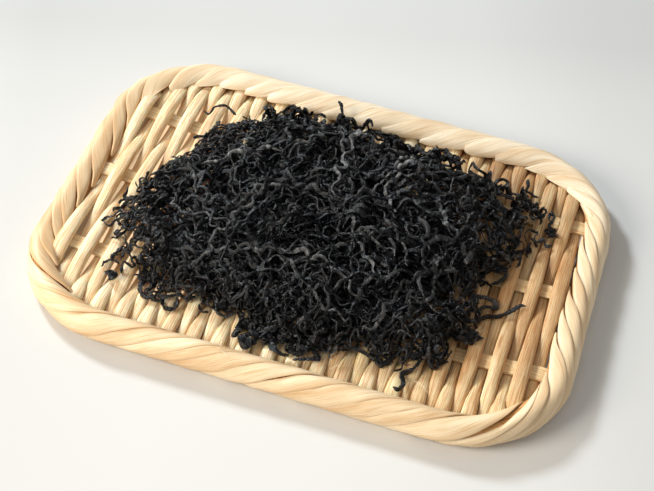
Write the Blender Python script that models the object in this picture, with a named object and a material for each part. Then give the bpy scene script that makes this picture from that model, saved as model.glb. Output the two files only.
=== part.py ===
"""Dried hijiki heaped on a small woven bamboo tray.

The tray is a rounded rectangle. Whittled rods run across it, from the near long side to the far one,
and pass by turns over and under three flat slats that run along it. A rope-like border of twisted
strips holds the ends of rods and slats. The heap of curly black strands lies on the weave.

Frame: metres, +X along the tray, +Y across it, +Z up. The origin is on the table, under the centre.
Pieces that touch keep a gap of 0.3 mm or a little more.
"""

import math
import random

import bmesh
import bpy
from mathutils import Vector

MM = 0.001

# Rim: centreline of the rope, a rounded rectangle, and the rope's round section.
RIM_HALF_LENGTH = 113.4 * MM
RIM_HALF_WIDTH = 82.4 * MM
RIM_CORNER_RADIUS = 41.6 * MM
RIM_RADIUS = 6.5 * MM
RIM_TURNS = 10  # full twists of the rope round the tray
RIM_STRIPS = 3  # strips that lie side by side in the rope
RIM_SIDES = 12  # points round the section, a multiple of RIM_STRIPS
RIM_GROOVE = 1.6 * MM  # depth of the groove between two strips
RIM_FLANK = 0.25 * MM  # how far a strip has dropped beside its crown
RIM_WALL = 6.2 * MM  # plain inner wall, from the centreline, where rods and slats end
RIM_WALL_HALF_HEIGHT = 3.6 * MM
RIM_FLATTENED = 0.8  # points this far round the section, as a sine or cosine, lie on its flats

# Weave: its middle plane sags in the centre and rises to the rim, most of all to its short sides.
WEAVE_HEIGHT = 4.6 * MM
RISE_ALONG = 5.1 * MM
RISE_ACROSS = 1.8 * MM
DISH_POWER = 3
GAP = 0.35 * MM
END_GAP = 0.4 * MM

ROD_COUNT = 40
ROD_PITCH = 5.333 * MM
ROD_WIDTH = 4.95 * MM
ROD_THICKNESS = 3.4 * MM
ROD_CREST = 0.55  # width of the rod's flat top, as a part of its whole width

SLAT_WIDTH = 7.6 * MM
SLAT_THICKNESS = 0.8 * MM
SLAT_PIECES = 16
SLATS = {"slat_near": -44.1 * MM, "slat_middle": 2.4 * MM, "slat_far": 44.1 * MM}
# How far a rod's middle line lies above or below a slat's middle plane where they cross.
ROD_SWING = ROD_THICKNESS / 2 + SLAT_THICKNESS / 2 + GAP
CROSSING_HALF_LENGTH = SLAT_WIDTH / 2 + 0.7 * MM
SWING_FADE = 24 * MM  # past the outer slats, a rod's swing dies out over this length
END_STEP = 0.5 * MM

# Heap: a low mound on a rounded footprint that is cut back in some directions.
HEAP_CENTRE = Vector((1.0 * MM, -1.0 * MM))
HEAP_HALF_LENGTH = 84 * MM
HEAP_HALF_WIDTH = 57 * MM
HEAP_SQUARENESS = 3.2
HEAP_CUTS = ((162, 14, 0.14), (-20, 16, 0.09))  # direction and spread in degrees, depth as a part
CORE_EDGE = 6.0 * MM
CORE_PEAK = 21.0 * MM
CORE_FULLNESS = 0.65  # under 1, the mound has a flatter top and steeper sides
CORE_SECTORS = 26
CORE_TOP_RINGS = (0.28, 0.54, 0.76, 0.92, 1.0)
CORE_BASE_RINGS = (0.5, 0.8, 1.0)
CORE_TOP_INSET = 0.999  # the top's edge takes its height just inside the footprint
LUMP = 1.5 * MM
LUMP_WAVES = (95, 120, 160)  # radians a metre: along the tray, across it and aslant

# Strands: bent round pieces of seaweed with thin ends.
STRAND_RADIUS = 1.4 * MM
STRAND_SIDES = 3
STRAND_STEP = 3.8 * MM
STRAND_CURL = 3.4 * MM  # how far a strand sways to each side
STRAND_CURL_RANGE = (0.6, 1.15)
STRAND_WAVE = 17 * MM  # length of one sway
STRAND_WAVE_RANGE = (0.8, 1.3)
STRAND_BEND = 40  # degrees a strand may turn over its length
STRAND_SUNK = 1.6 * MM  # how deep its start lies in the core
STRAND_TIP = 0.55  # radius at both ends, as a part of the whole
STRAND_THICKNESS_RANGE = (0.8, 1.15)
STEEP = 0.05  # a strand is upright where less than this part of it runs level
TOP_STRANDS = 50
TOP_REACH = 0.9  # how far out their middles lie, as a part of the way to the core's edge
TOP_LENGTHS = (22 * MM, 36 * MM)
TOP_RISES = (1.5 * MM, 5.0 * MM)
EDGE_STRANDS = 21
EDGE_START = 0.9
EDGE_PLACES = (0.2, 0.8)
EDGE_TURNS = (-70, 70)
EDGE_LENGTHS = (14 * MM, 24 * MM)
EDGE_RISES = (1.0 * MM, 4.0 * MM)
EDGE_TIP_RISES = (0.5 * MM, 3.0 * MM)
RIM_MARGIN = RIM_WALL + STRAND_RADIUS + 1.0 * MM
GOLDEN_ANGLE = math.pi * (3 - math.sqrt(5))
SEED = 7

# Strands that stand out from the heap: start, heading in degrees, length, rise of the middle
# and rise of the tip above the surface below.
LOOSE_STRANDS = (
    ((60 * MM, -24 * MM), 8, 36 * MM, 0.5 * MM, 3.0 * MM),
    ((-58 * MM, 36 * MM), 118, 24 * MM, 7.0 * MM, 0.0 * MM),
    ((-12 * MM, 44 * MM), 100, 17 * MM, 6.0 * MM, 9.0 * MM),
    ((40 * MM, -50 * MM), -50, 24 * MM, 0.5 * MM, 0.5 * MM),
    ((-2 * MM, -47 * MM), -48, 25 * MM, 0.5 * MM, 0.5 * MM),
    ((-24 * MM, -47 * MM), -76, 20 * MM, 0.5 * MM, 1.5 * MM),
    ((-70 * MM, -32 * MM), 205, 20 * MM, 3.0 * MM, 1.0 * MM),
    ((-70 * MM, 2 * MM), 140, 20 * MM, 5.0 * MM, 1.0 * MM),
    ((74 * MM, 22 * MM), 20, 21 * MM, 4.0 * MM, 3.0 * MM),
    ((58 * MM, 42 * MM), 55, 19 * MM, 4.0 * MM, 4.0 * MM),
)

BAMBOO_ROD = ("bamboo rod", (0.72, 0.52, 0.31, 1.0), 0.55)
BAMBOO_SLAT = ("bamboo slat", (0.68, 0.53, 0.27, 1.0), 0.5)
BAMBOO_STRIP = ("bamboo strip", (0.84, 0.68, 0.43, 1.0), 0.5)
SEAWEED = ("dried hijiki", (0.013, 0.014, 0.017, 1.0), 0.6)


def clear_scene():
    for item in list(bpy.data.objects):
        bpy.data.objects.remove(item, do_unlink=True)


def make_material(name, colour, roughness):
    material = bpy.data.materials.get(name) or bpy.data.materials.new(name)
    material.use_nodes = True
    shader = material.node_tree.nodes["Principled BSDF"]
    shader.inputs["Base Color"].default_value = colour
    shader.inputs["Roughness"].default_value = roughness
    shader.inputs["Metallic"].default_value = 0.0
    return material


def make_object(name, vertices, faces, look, collection=None):
    """An object of triangles with one material, in the given collection or in the scene's own."""
    mesh = bpy.data.meshes.new(name)
    mesh.from_pydata([tuple(v) for v in vertices], [], faces)
    shape = bmesh.new()
    shape.from_mesh(mesh)
    bmesh.ops.triangulate(shape, faces=shape.faces[:], quad_method="SHORT_EDGE")
    bmesh.ops.recalc_face_normals(shape, faces=shape.faces[:])
    shape.to_mesh(mesh)
    shape.free()
    mesh.materials.append(make_material(*look))
    item = bpy.data.objects.new(name, mesh)
    (collection or bpy.context.scene.collection).objects.link(item)
    return item


def round_off(item):
    item.data.shade_smooth()
    item.data.set_sharp_from_angle(angle=math.radians(50))


def tube_faces(rings, sides, closed=False):
    """Faces of a tube whose vertices are stored ring by ring, with a cap at each end if open."""
    faces = []
    for ring in range(rings if closed else rings - 1):
        here, after = ring * sides, (ring + 1) % rings * sides
        for side in range(sides):
            other = (side + 1) % sides
            faces.append((here + side, here + other, after + other, after + side))
    if not closed:
        last = (rings - 1) * sides
        faces.append(tuple(reversed(range(sides))))
        faces.append(tuple(range(last, last + sides)))
    return faces


# The tray's outline and its dished weave.


def rim_station(distance):
    """Point and outward direction on the rim's centreline, counterclockwise from the right side."""
    straight_x = RIM_HALF_LENGTH - RIM_CORNER_RADIUS
    straight_y = RIM_HALF_WIDTH - RIM_CORNER_RADIUS
    quarter = RIM_CORNER_RADIUS * math.pi / 2
    turn = 0.0
    for straight in (straight_y, straight_x, straight_y, straight_x):
        along = Vector((-math.sin(turn), math.cos(turn)))
        out = Vector((math.cos(turn), math.sin(turn)))
        across = straight_x + straight_y - straight
        if distance <= 2 * straight:
            return out * (across + RIM_CORNER_RADIUS) + along * (distance - straight), out
        distance -= 2 * straight
        if distance <= quarter:
            angle = distance / RIM_CORNER_RADIUS
            bent = out * math.cos(angle) + along * math.sin(angle)
            return out * across + along * straight + bent * RIM_CORNER_RADIUS, bent
        distance -= quarter
        turn += math.pi / 2
    return rim_station(0.0)


def rim_length():
    straights = 4 * (RIM_HALF_LENGTH + RIM_HALF_WIDTH - 2 * RIM_CORNER_RADIUS)
    return straights + 2 * math.pi * RIM_CORNER_RADIUS


def reach(sideways, half_run, half_across, inset):
    """Where a line at a sideways distance from the middle meets the outline that is inset from the
    rim's centreline, as a distance along the line. half_run is the rim's half size along it."""
    corner = RIM_CORNER_RADIUS - inset
    past = max(0.0, abs(sideways) - (half_across - RIM_CORNER_RADIUS))
    return half_run - RIM_CORNER_RADIUS + math.sqrt(max(0.0, corner**2 - past**2))


def inside_rim(x, y, inset):
    if abs(x) > RIM_HALF_LENGTH - inset:
        return False
    return abs(y) < reach(x, RIM_HALF_WIDTH, RIM_HALF_LENGTH, inset)


def weave_plane(x, y):
    """Height of the weave's middle plane: flat in the centre, rising to the rim all round."""
    along = min(1.0, abs(x) / RIM_HALF_LENGTH) ** DISH_POWER
    across = min(1.0, abs(y) / RIM_HALF_WIDTH) ** DISH_POWER
    return WEAVE_HEIGHT + RISE_ALONG * along + RISE_ACROSS * across


def weave_top(x, y):
    """Height that anything lying on the weave keeps clear of."""
    return weave_plane(x, y) + ROD_SWING + ROD_THICKNESS / 2 + GAP


# The pieces of the tray.


def rim_section(step):
    """Section of the rim at one of its steps, as distances outwards and upwards from its centre.

    The grooves between the strips move one point round the section with each step."""
    points_per_strip = RIM_SIDES // RIM_STRIPS
    drops = {0: RIM_GROOVE, 1: RIM_FLANK, points_per_strip - 1: RIM_FLANK}
    section = []
    for side in range(RIM_SIDES):
        angle = 2 * math.pi * side / RIM_SIDES
        inner = math.cos(angle) < -RIM_FLATTENED
        under = math.sin(angle) < -RIM_FLATTENED
        drop = 0.0 if inner or under else drops.get((step - side) % points_per_strip, 0.0)
        out = (RIM_RADIUS - drop) * math.cos(angle)
        up = (RIM_RADIUS - drop) * math.sin(angle)
        if inner:
            out = -RIM_WALL
            up = math.copysign(RIM_WALL_HALF_HEIGHT, math.sin(angle)) if abs(up) > GAP else 0.0
        if under:
            up = -RIM_RADIUS
        section.append((out, up))
    return section


def make_rim():
    """The border stands on its flat underside."""
    steps = RIM_TURNS * RIM_SIDES
    vertices = []
    for step in range(steps):
        centre, outward = rim_station(rim_length() * step / steps)
        for out, up in rim_section(step):
            place = centre + outward * out
            vertices.append((place.x, place.y, RIM_RADIUS + up))
    faces = []
    for a, b, c, d in tube_faces(steps, RIM_SIDES, closed=True):
        faces += [(a, b, c), (a, c, d)]
    round_off(make_object("rim_border", vertices, faces, BAMBOO_STRIP))


def make_slat(name, y_middle):
    """A flat strip along the tray. Its ends follow the rim's inner wall."""
    inset = RIM_WALL + END_GAP
    vertices = []
    for piece in range(SLAT_PIECES + 1):
        for across, up in ((-1, -1), (1, -1), (1, 1), (-1, 1)):
            y = y_middle + across * SLAT_WIDTH / 2
            half = reach(y, RIM_HALF_LENGTH, RIM_HALF_WIDTH, inset)
            x = half * (2 * piece / SLAT_PIECES - 1)
            vertices.append((x, y, weave_plane(x, y) + up * SLAT_THICKNESS / 2))
    make_object(name, vertices, tube_faces(SLAT_PIECES + 1, 4), BAMBOO_SLAT)


def rod_line(number):
    """Stations of a rod between its ends: distance across the tray, and height over the plane."""
    line = []
    for place, y_slat in enumerate(SLATS.values()):
        over = (number + place) % 2 == 1
        swing = ROD_SWING if over else -ROD_SWING
        line.append((y_slat - CROSSING_HALF_LENGTH, swing))
        line.append((y_slat + CROSSING_HALF_LENGTH, swing))
    return line


def rod_section():
    crest = ROD_WIDTH * ROD_CREST / 2
    low, high = -ROD_THICKNESS / 2, ROD_THICKNESS / 2
    return (
        (-ROD_WIDTH / 2, 0.0),
        (-crest, low),
        (crest, low),
        (ROD_WIDTH / 2, 0.0),
        (crest, high),
        (-crest, high),
    )


def make_rod(number):
    """A whittled rod across the tray. Each edge ends where it meets the rim's inner wall."""
    x_middle = (number - (ROD_COUNT + 1) / 2) * ROD_PITCH
    section = rod_section()
    line = rod_line(number)
    stations = [(-RIM_HALF_WIDTH, line[0][1]), *line, (RIM_HALF_WIDTH, line[-1][1])]
    last_crossing = SLATS["slat_far"] + CROSSING_HALF_LENGTH
    vertices = []
    for index, (y_station, swing) in enumerate(stations):
        at_end = index in (0, len(stations) - 1)
        for x_offset, up in section:
            x = x_middle + x_offset
            end = reach(x, RIM_HALF_WIDTH, RIM_HALF_LENGTH, RIM_WALL + END_GAP)
            # The outermost rods end in the rounded corners, close to the outer slats.
            run = end if at_end else min(abs(y_station), end - END_STEP)
            y = math.copysign(run, y_station)
            fade = max(0.0, 1 - max(0.0, run - last_crossing) / SWING_FADE)
            vertices.append((x, y, weave_plane(x, y) + swing * fade + up))
    faces = tube_faces(len(stations), len(section))
    round_off(make_object(f"rod_{number:02d}", vertices, faces, BAMBOO_ROD))


# The heap.


def heap_radius(angle):
    """Distance from the heap's centre to the edge of its core in one direction."""
    power = HEAP_SQUARENESS
    along = abs(math.cos(angle)) / HEAP_HALF_LENGTH
    across = abs(math.sin(angle)) / HEAP_HALF_WIDTH
    radius = (along**power + across**power) ** (-1 / power)
    for direction, spread, depth in HEAP_CUTS:
        turn = (math.degrees(angle) - direction + 180) % 360 - 180
        radius *= 1 - depth * math.exp(-((turn / spread) ** 2))
    return radius


def heap_ratio(x, y):
    """0 at the heap's centre and 1 at the edge of its core."""
    away = Vector((x, y)) - HEAP_CENTRE
    return away.length / heap_radius(math.atan2(away.y, away.x))


def core_top(x, y):
    """Height of the core's upper side, with low lumps. Past the core it is the weave's top."""
    ratio = heap_ratio(x, y)
    if ratio > 1:
        return weave_top(x, y)
    along, across, aslant = LUMP_WAVES
    lumps = math.sin(x * along + 1.0) * math.sin(y * across + 0.5) + math.sin((x + y) * aslant)
    rise = CORE_EDGE + (CORE_PEAK - CORE_EDGE) * (1 - ratio**2) ** CORE_FULLNESS
    return weave_top(x, y) + rise + LUMP * lumps * (1 - ratio**2)


def make_core(collection):
    """The solid middle of the heap: a mound whose underside follows the dished weave."""
    vertices = [(*HEAP_CENTRE, core_top(*HEAP_CENTRE)), (*HEAP_CENTRE, weave_top(*HEAP_CENTRE))]
    faces = []

    def add_side(rings, height, centre):
        before = None
        for ring in rings:
            start = len(vertices)
            for sector in range(CORE_SECTORS):
                angle = 2 * math.pi * sector / CORE_SECTORS
                away = Vector((math.cos(angle), math.sin(angle))) * heap_radius(angle) * ring
                place = HEAP_CENTRE + away
                vertices.append((place.x, place.y, height(place.x, place.y)))
            for sector in range(CORE_SECTORS):
                other = (sector + 1) % CORE_SECTORS
                if before is None:
                    faces.append((centre, start + sector, start + other))
                else:
                    faces.append((before + sector, start + sector, start + other, before + other))
            before = start
        return before

    top = add_side(CORE_TOP_RINGS, lambda x, y: core_top(*inwards(x, y)), 0)
    base = add_side(CORE_BASE_RINGS, weave_top, 1)
    for sector in range(CORE_SECTORS):
        other = (sector + 1) % CORE_SECTORS
        faces.append((top + sector, base + sector, base + other, top + other))
    return make_object("hijiki_heap", vertices, faces, SEAWEED, collection)


def inwards(x, y):
    place = HEAP_CENTRE + (Vector((x, y)) - HEAP_CENTRE) * CORE_TOP_INSET
    return place.x, place.y


def strand_path(start, heading, length, middle_rise, tip_rise, draw):
    """Middle line of a strand over the heap: it sways from side to side, and rises and falls.

    Its start is sunk in the core. It stops where it would meet the rim."""
    steps = max(4, round(length / STRAND_STEP))
    phase = draw.uniform(0, 2 * math.pi)
    sway = STRAND_CURL * draw.uniform(*STRAND_CURL_RANGE)
    wave = STRAND_WAVE * draw.uniform(*STRAND_WAVE_RANGE)
    bend = math.radians(draw.uniform(-STRAND_BEND, STRAND_BEND))
    points = []
    place = Vector(start)
    for step in range(steps + 1):
        part = step / steps
        turn = heading + bend * part
        ahead = Vector((math.cos(turn), math.sin(turn)))
        side = Vector((-ahead.y, ahead.x))
        swing = sway * (math.sin(2 * math.pi * length * part / wave + phase) - math.sin(phase))
        x, y = place + side * swing
        if not inside_rim(x, y, RIM_MARGIN):
            break
        bump = math.sin(math.pi * part) * middle_rise
        rise = bump + tip_rise * part**2 - STRAND_SUNK * (1 - part) ** 4
        floor = weave_top(x, y) + STRAND_RADIUS
        points.append(Vector((x, y, max(floor, core_top(x, y) + rise))))
        place += ahead * length / steps
    return points


def make_strand(name, points, collection, thickness):
    """A thin three-sided tube round the middle line, narrower at both ends."""
    vertices = []
    last = len(points) - 1
    upright = Vector((0, 0, 1))
    for index, point in enumerate(points):
        along = (points[min(index + 1, last)] - points[max(index - 1, 0)]).normalized()
        side = along.cross(upright)
        side = side.normalized() if side.length > STEEP else Vector((1, 0, 0))
        up = side.cross(along)
        narrow = STRAND_TIP if index in (0, last) else 1.0
        radius = STRAND_RADIUS * thickness * narrow
        for corner in range(STRAND_SIDES):
            angle = math.pi / 2 + 2 * math.pi * corner / STRAND_SIDES
            vertices.append(point + (side * math.cos(angle) + up * math.sin(angle)) * radius)
    make_object(name, vertices, tube_faces(len(points), STRAND_SIDES), SEAWEED, collection)


def add_strands(collection):
    """Strands over the whole mound in a sunflower pattern, then round its edge, then the loose ones."""
    draw = random.Random(SEED)
    paths = []
    for index in range(TOP_STRANDS):
        angle = index * GOLDEN_ANGLE
        part = TOP_REACH * math.sqrt((index + 0.5) / TOP_STRANDS)
        away = Vector((math.cos(angle), math.sin(angle))) * heap_radius(angle) * part
        heading = draw.uniform(0, 2 * math.pi)
        length = draw.uniform(*TOP_LENGTHS)
        ahead = Vector((math.cos(heading), math.sin(heading)))
        start = HEAP_CENTRE + away - ahead * length / 2
        paths.append(strand_path(start, heading, length, draw.uniform(*TOP_RISES), 0.0, draw))
    for index in range(EDGE_STRANDS):
        angle = 2 * math.pi * (index + draw.uniform(*EDGE_PLACES)) / EDGE_STRANDS
        away = Vector((math.cos(angle), math.sin(angle))) * heap_radius(angle) * EDGE_START
        heading = angle + math.radians(draw.uniform(*EDGE_TURNS))
        length = draw.uniform(*EDGE_LENGTHS)
        middle, tip = draw.uniform(*EDGE_RISES), draw.uniform(*EDGE_TIP_RISES)
        paths.append(strand_path(HEAP_CENTRE + away, heading, length, middle, tip, draw))
    for start, degrees, length, middle, tip in LOOSE_STRANDS:
        paths.append(strand_path(start, math.radians(degrees), length, middle, tip, draw))
    for index, points in enumerate(paths):
        if len(points) > 3:
            thickness = draw.uniform(*STRAND_THICKNESS_RANGE)
            make_strand(f"strand_{index:02d}", points, collection, thickness)


def keep_largest_body(item):
    """Drops loose scraps and fills sealed hollows: only the shell with the most faces stays."""
    shape = bmesh.new()
    shape.from_mesh(item.data)
    shells = []
    unseen = set(shape.verts)
    while unseen:
        group = {unseen.pop()}
        border = list(group)
        while border:
            for edge in border.pop().link_edges:
                for vertex in edge.verts:
                    if vertex in unseen:
                        unseen.remove(vertex)
                        group.add(vertex)
                        border.append(vertex)
        shells.append(group)
    shells.sort(key=len)
    scraps = [vertex for group in shells[:-1] for vertex in group]
    bmesh.ops.delete(shape, geom=scraps, context="VERTS")
    shape.to_mesh(item.data)
    shape.free()


def make_heap():
    """The core and the strands that show, as one body."""
    strands = bpy.data.collections.new("strands")
    bpy.context.scene.collection.children.link(strands)
    heap = make_core(None)
    add_strands(strands)
    union = heap.modifiers.new("strands", "BOOLEAN")
    union.operation = "UNION"
    union.operand_type = "COLLECTION"
    union.collection = strands
    union.solver = "MANIFOLD"
    seen = heap.evaluated_get(bpy.context.evaluated_depsgraph_get())
    joined = bpy.data.meshes.new_from_object(seen)
    heap.modifiers.clear()
    heap.data = joined
    joined.name = "hijiki_heap"
    for item in list(strands.objects):
        bpy.data.objects.remove(item, do_unlink=True)
    bpy.data.collections.remove(strands)
    keep_largest_body(heap)
    round_off(heap)


def main():
    clear_scene()
    make_rim()
    for name, y_middle in SLATS.items():
        make_slat(name, y_middle)
    for number in range(1, ROD_COUNT + 1):
        make_rod(number)
    make_heap()


main()
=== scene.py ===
"""Dried hijiki heaped on a small woven bamboo tray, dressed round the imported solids.

Lengths are in millimetres until a mesh is made. +X runs along the tray, +Y across it, +Z up.
"""

import math

import bpy
import numpy as np
from mathutils import Matrix, Vector


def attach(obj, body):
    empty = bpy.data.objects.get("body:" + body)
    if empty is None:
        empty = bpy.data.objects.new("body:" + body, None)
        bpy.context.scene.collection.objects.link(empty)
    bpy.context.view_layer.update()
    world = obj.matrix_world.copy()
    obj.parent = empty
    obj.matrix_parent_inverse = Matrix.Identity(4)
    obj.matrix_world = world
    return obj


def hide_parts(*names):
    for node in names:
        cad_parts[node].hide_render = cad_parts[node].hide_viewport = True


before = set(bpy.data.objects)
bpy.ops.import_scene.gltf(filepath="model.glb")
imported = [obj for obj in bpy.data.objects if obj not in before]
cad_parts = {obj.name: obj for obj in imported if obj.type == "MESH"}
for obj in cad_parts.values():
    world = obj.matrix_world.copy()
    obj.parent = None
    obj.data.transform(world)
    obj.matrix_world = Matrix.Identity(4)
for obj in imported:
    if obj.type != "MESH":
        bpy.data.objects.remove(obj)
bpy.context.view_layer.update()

MM = 0.001
TURN = 2 * np.pi

# The tray's outline and weave, as in the solids.
RIM_HALF_LENGTH = 113.4
RIM_HALF_WIDTH = 82.4
RIM_CORNER_RADIUS = 41.6
RIM_RADIUS = 6.5
RIM_WALL = 6.2
RIM_STRAIGHTS = (RIM_HALF_WIDTH - RIM_CORNER_RADIUS, RIM_HALF_LENGTH - RIM_CORNER_RADIUS)
RIM_LENGTH = 4 * sum(RIM_STRAIGHTS) + TURN * RIM_CORNER_RADIUS
WEAVE_HEIGHT = 4.6
RISE_ALONG = 5.1
RISE_ACROSS = 1.8
DISH_POWER = 3
ROD_COUNT = 40
ROD_PITCH = 5.333
ROD_WIDTH = 5.35
ROD_THICKNESS = 3.5
ROD_SWING = 2.45
SWING_AT_RIM = -0.55  # a rod that passes over the last slat dives at the border
CROSSING_HALF_LENGTH = 3.6
SLAT_WIDTH = 7.6
SLAT_THICKNESS = 1.25
SLATS = {"slat_near": -44.1, "slat_middle": 2.4, "slat_far": 44.1}

# The heap. Its height is as in the solids.
HEAP_CENTRE = np.array((1.0, -1.0))
# How far its strands reach in the photo, every ten degrees from +X.
HEAP_REACH = (
    76.9, 80.8, 92.5, 90, 80.1, 73.3, 68.8, 64.1, 64.7, 65.7, 66.2, 65.2, 71.2, 74.5, 76.7, 78,
    75.8, 77.3, 80.7, 88.5, 90.5, 90, 81.6, 71.2, 63.7, 60.4, 61.4, 64.6, 64.7, 63.1, 65.8, 71.2,
    79.8, 78.8, 75.2, 74.6,
)
HEAP_EDGE = 6.0
HEAP_TOP = 36.2
HEAP_PEAK = 21.0
HEAP_FULLNESS = 0.65
HEAP_LUMP = 1.5
HEAP_LUMP_WAVES = (0.095, 0.120, 0.160)


def unit(value):
    """A value kept within 0 and 1."""
    return np.clip(value, 0, 1)


# Meshes from arrays.


def add_object(name, data):
    item = bpy.data.objects.new(name, data)
    bpy.context.scene.collection.objects.link(item)
    return item


def make_mesh_object(name, points, polygons, material, tone, fibre=None, smooth=True):
    """An object from points in millimetres and arrays of polygons of one size each.

    Each point has a tone, or all have the same, and on bamboo a place across and along the fibres.
    """
    mesh = bpy.data.meshes.new(name)
    points = np.asarray(points, float).reshape(-1, 3) * MM
    mesh.vertices.add(len(points))
    mesh.vertices.foreach_set("co", points.astype(np.float32).ravel())
    sizes = np.concatenate([np.full(len(p), p.shape[1], np.int32) for p in polygons])
    corners = np.concatenate([p.ravel() for p in polygons]).astype(np.int32)
    mesh.loops.add(len(corners))
    mesh.loops.foreach_set("vertex_index", corners)
    mesh.polygons.add(len(sizes))
    starts = (np.cumsum(sizes) - sizes).astype(np.int32)
    mesh.polygons.foreach_set("loop_start", starts)
    mesh.polygons.foreach_set("use_smooth", np.full(len(sizes), smooth))
    if fibre is not None:
        layer = mesh.attributes.new("fibre", "FLOAT_VECTOR", "POINT")
        layer.data.foreach_set("vector", np.asarray(fibre, np.float32).ravel())
    layer = mesh.attributes.new("tone", "FLOAT", "POINT")
    layer.data.foreach_set("value", np.resize(tone, len(points)).astype(np.float32))
    mesh.update(calc_edges=True)
    mesh.validate()
    mesh.materials.append(material)
    return add_object(name, mesh)


def put(item, slot, *nodes):
    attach(item, "root")
    if nodes:
        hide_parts(*nodes)


def columns(*parts):
    """Points from their coordinates, each stretched to the same shape."""
    return np.stack(np.broadcast_arrays(*parts), -1)


def four(*corners):
    return columns(*corners).reshape(-1, 4)


def tube_polygons(count, rings, sides, closed=False):
    """Quads and end caps for `count` tubes, stored tube by tube and ring by ring."""
    last = rings if closed else rings - 1
    ring = np.arange(last)[:, None]
    side = np.arange(sides)
    here, after = ring * sides, (ring + 1) % rings * sides
    other = (side + 1) % sides
    quads = four(here + side, here + other, after + other, after + side)
    offset = np.arange(count)[:, None, None] * rings * sides
    polygons = [(quads[None] + offset).reshape(-1, 4)]
    if not closed:
        caps = np.stack([np.arange(sides)[::-1], (rings - 1) * sides + np.arange(sides)])
        polygons.append((caps[None] + offset).reshape(-1, sides))
    return polygons


def sweep(paths, radii_side, radii_up, sides, twist, ridges=0.0):
    """Rings of points round many paths at once: paths is (tube, station, 3)."""
    along = np.gradient(paths, axis=1)
    along /= np.linalg.norm(along, axis=2, keepdims=True) + 1e-9
    normal = np.zeros_like(paths)
    first = np.cross(along[:, 0], (0, 0, 1))
    weak = np.linalg.norm(first, axis=1) < 0.1
    first[weak] = np.cross(along[weak, 0], (1, 0, 0))
    normal[:, 0] = first / np.linalg.norm(first, axis=1, keepdims=True)
    for station in range(1, paths.shape[1]):
        carried = normal[:, station - 1]
        axis = along[:, station]
        carried = carried - (carried * axis).sum(1, keepdims=True) * axis
        normal[:, station] = carried / (np.linalg.norm(carried, axis=1, keepdims=True) + 1e-9)
    across = np.cross(along, normal)
    cos, sin = np.cos(twist)[..., None], np.sin(twist)[..., None]
    turned = normal * cos + across * sin
    lifted = across * cos - normal * sin
    angle = TURN * np.arange(sides) / sides
    bulge = 1 + ridges * (-1.0) ** np.arange(sides)
    side = (np.cos(angle) * bulge)[:, None] * radii_side[..., None, None]
    up = (np.sin(angle) * bulge)[:, None] * radii_up[..., None, None]
    return paths[:, :, None] + turned[:, :, None] * side + lifted[:, :, None] * up


# The weave.


def rim_station(distance):
    """Points and outward directions on the rim's centreline, counterclockwise from the right side."""
    distance = np.mod(np.asarray(distance, float), RIM_LENGTH)
    place, outward = np.zeros((2, *distance.shape, 2))
    start = 0.0
    quarter = RIM_CORNER_RADIUS * np.pi / 2
    for side in range(4):
        straight, across = RIM_STRAIGHTS[side % 2], RIM_STRAIGHTS[(side + 1) % 2]
        turn = side * np.pi / 2
        out = np.array((math.cos(turn), math.sin(turn)))
        along = np.array((-math.sin(turn), math.cos(turn)))
        part = distance - start
        on_straight = (part >= 0) & (part <= 2 * straight)
        run = part[on_straight][:, None]
        place[on_straight] = out * (across + RIM_CORNER_RADIUS) + along * (run - straight)
        outward[on_straight] = out
        part = part - 2 * straight
        on_corner = (part > 0) & (part <= quarter)
        angle = (part[on_corner] / RIM_CORNER_RADIUS)[:, None]
        bent = out * np.cos(angle) + along * np.sin(angle)
        place[on_corner] = out * across + along * straight + bent * RIM_CORNER_RADIUS
        outward[on_corner] = bent
        start += 2 * straight + quarter
    return place, outward


def reach(sideways, half_run, half_across, inset):
    """Where a line at a sideways distance meets the outline inset from the rim's centreline."""
    corner = RIM_CORNER_RADIUS - inset
    past = np.maximum(0.0, np.abs(sideways) - (half_across - RIM_CORNER_RADIUS))
    return half_run - RIM_CORNER_RADIUS + np.sqrt(np.maximum(0.0, corner**2 - past**2))


def weave_plane(x, y):
    along = np.minimum(1.0, np.abs(x) / RIM_HALF_LENGTH) ** DISH_POWER
    across = np.minimum(1.0, np.abs(y) / RIM_HALF_WIDTH) ** DISH_POWER
    return WEAVE_HEIGHT + RISE_ALONG * along + RISE_ACROSS * across


def swing(y):
    """How far an odd rod's middle line lies above the weave's middle plane."""
    rim = RIM_HALF_WIDTH - RIM_WALL
    ends = (-CROSSING_HALF_LENGTH, CROSSING_HALF_LENGTH)
    knots_y = np.array([-rim, *(place + end for place in SLATS.values() for end in ends), rim])
    knots_z = ROD_SWING * np.array((SWING_AT_RIM, 1, 1, -1, -1, 1, 1, SWING_AT_RIM))
    index = np.clip(np.searchsorted(knots_y, y) - 1, 0, len(knots_y) - 2)
    part = unit((y - knots_y[index]) / (knots_y[index + 1] - knots_y[index]))
    eased = 0.35 * part + 0.65 * (part * part * (3 - 2 * part))
    return knots_z[index] + (knots_z[index + 1] - knots_z[index]) * eased


def weave_crest(x, y):
    """Height of the rods' tops where they stand highest near a point."""
    return weave_plane(x, y) + np.abs(swing(y)) + ROD_THICKNESS / 2


# Materials.


WHITE, BLACK = (1, 1, 1, 1), (0, 0, 0, 1)


def new_material(name):
    material = bpy.data.materials.new(name)
    material.use_nodes = True
    tree = material.node_tree
    return material, tree, tree.nodes["Principled BSDF"]


def feed(tree, node, inputs):
    """Sets a node's inputs, each by a value or by a link from another node."""
    for key, value in inputs.items():
        if isinstance(value, bpy.types.NodeSocket):
            tree.links.new(value, node.inputs[key])
        else:
            node.inputs[key].default_value = value


def add_node(tree, kind, inputs, **settings):
    node = tree.nodes.new(kind)
    for key, value in settings.items():
        setattr(node, key, value)
    feed(tree, node, inputs)
    return node


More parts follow.
